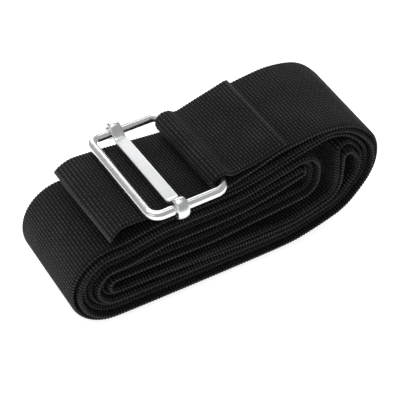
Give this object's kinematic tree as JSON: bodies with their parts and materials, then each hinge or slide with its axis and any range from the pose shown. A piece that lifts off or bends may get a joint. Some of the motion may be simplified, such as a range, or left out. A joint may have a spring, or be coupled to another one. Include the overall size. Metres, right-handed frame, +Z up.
{
  "type": "weight belt",
  "caption": "Flat-woven weight belt, folded double and rolled into a flat bundle, with a wire slide buckle hinged in its looped end.",
  "frame": {"origin": "on the surface that the roll lies on, under the middle of its box", "axes": "+X along the roll towards its taller end, +Y across the webbing, +Z up"},
  "size_m": [0.1532, 0.0654, 0.0638],
  "materials": {
    "webbing": "heavy woven webbing, soft satin sheen",
    "wire": "bright nickel-plated wire",
    "strip": "bright nickel-plated strip"
  },
  "bodies": {
    "belt": {"webbing_strap": "webbing"},
    "buckle": {"buckle_frame": "wire"},
    "slider": {"slide_bar": "strip"}
  },
  "joints": [
    {"name": "buckle_swing", "type": "hinge", "parent": "belt", "child": "buckle", "pos_m": [-0.00555, 0, 0.05401], "axis": [0, 1, 0], "range_deg": [0, 120]},
    {"name": "bar_slide", "type": "slide", "parent": "buckle", "child": "slider", "axis": [-0.9996, 0, -0.0269], "range_m": [-0.0126, 0.0041]}
  ]
}
